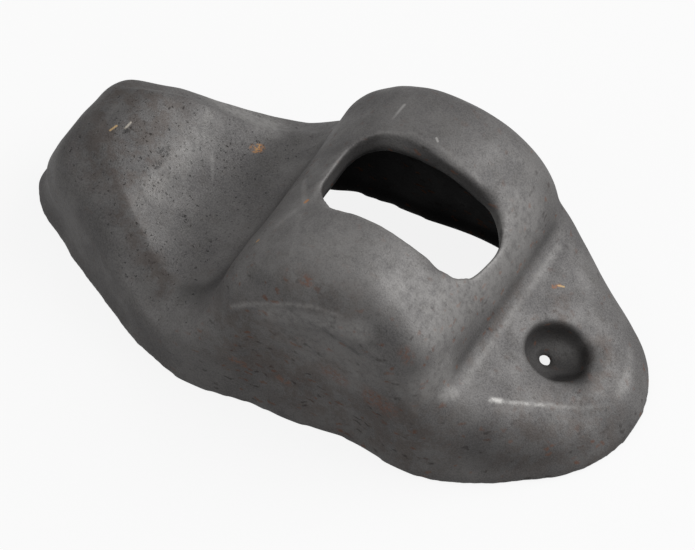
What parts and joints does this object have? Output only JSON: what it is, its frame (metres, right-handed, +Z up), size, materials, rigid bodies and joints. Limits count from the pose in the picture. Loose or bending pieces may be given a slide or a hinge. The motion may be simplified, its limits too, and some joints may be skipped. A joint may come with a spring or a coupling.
{
  "type": "rocker arm",
  "caption": "Stamped steel rocker arm: a deep open-bottomed shell with a half-round fulcrum barrel, stud slot, rounded valve tip and a pushrod cup with an oil hole.",
  "frame": {"origin": "where the rocker stud's axis crosses the plane of the rim on which the arm lies: under the fulcrum barrel's axis, on the mid plane", "axes": "+X along the arm from the valve tip to the pushrod cup, +Y across the arm along the barrel's axis, +Z up out of the rim, towards the barrel's crown"},
  "size_m": [0.0852, 0.0416, 0.0271],
  "materials": {
    "steel": "satin, case-hardened grey, lightly worn"
  },
  "bodies": {
    "root": {"rocker_arm": "steel"}
  },
  "joints": []
}
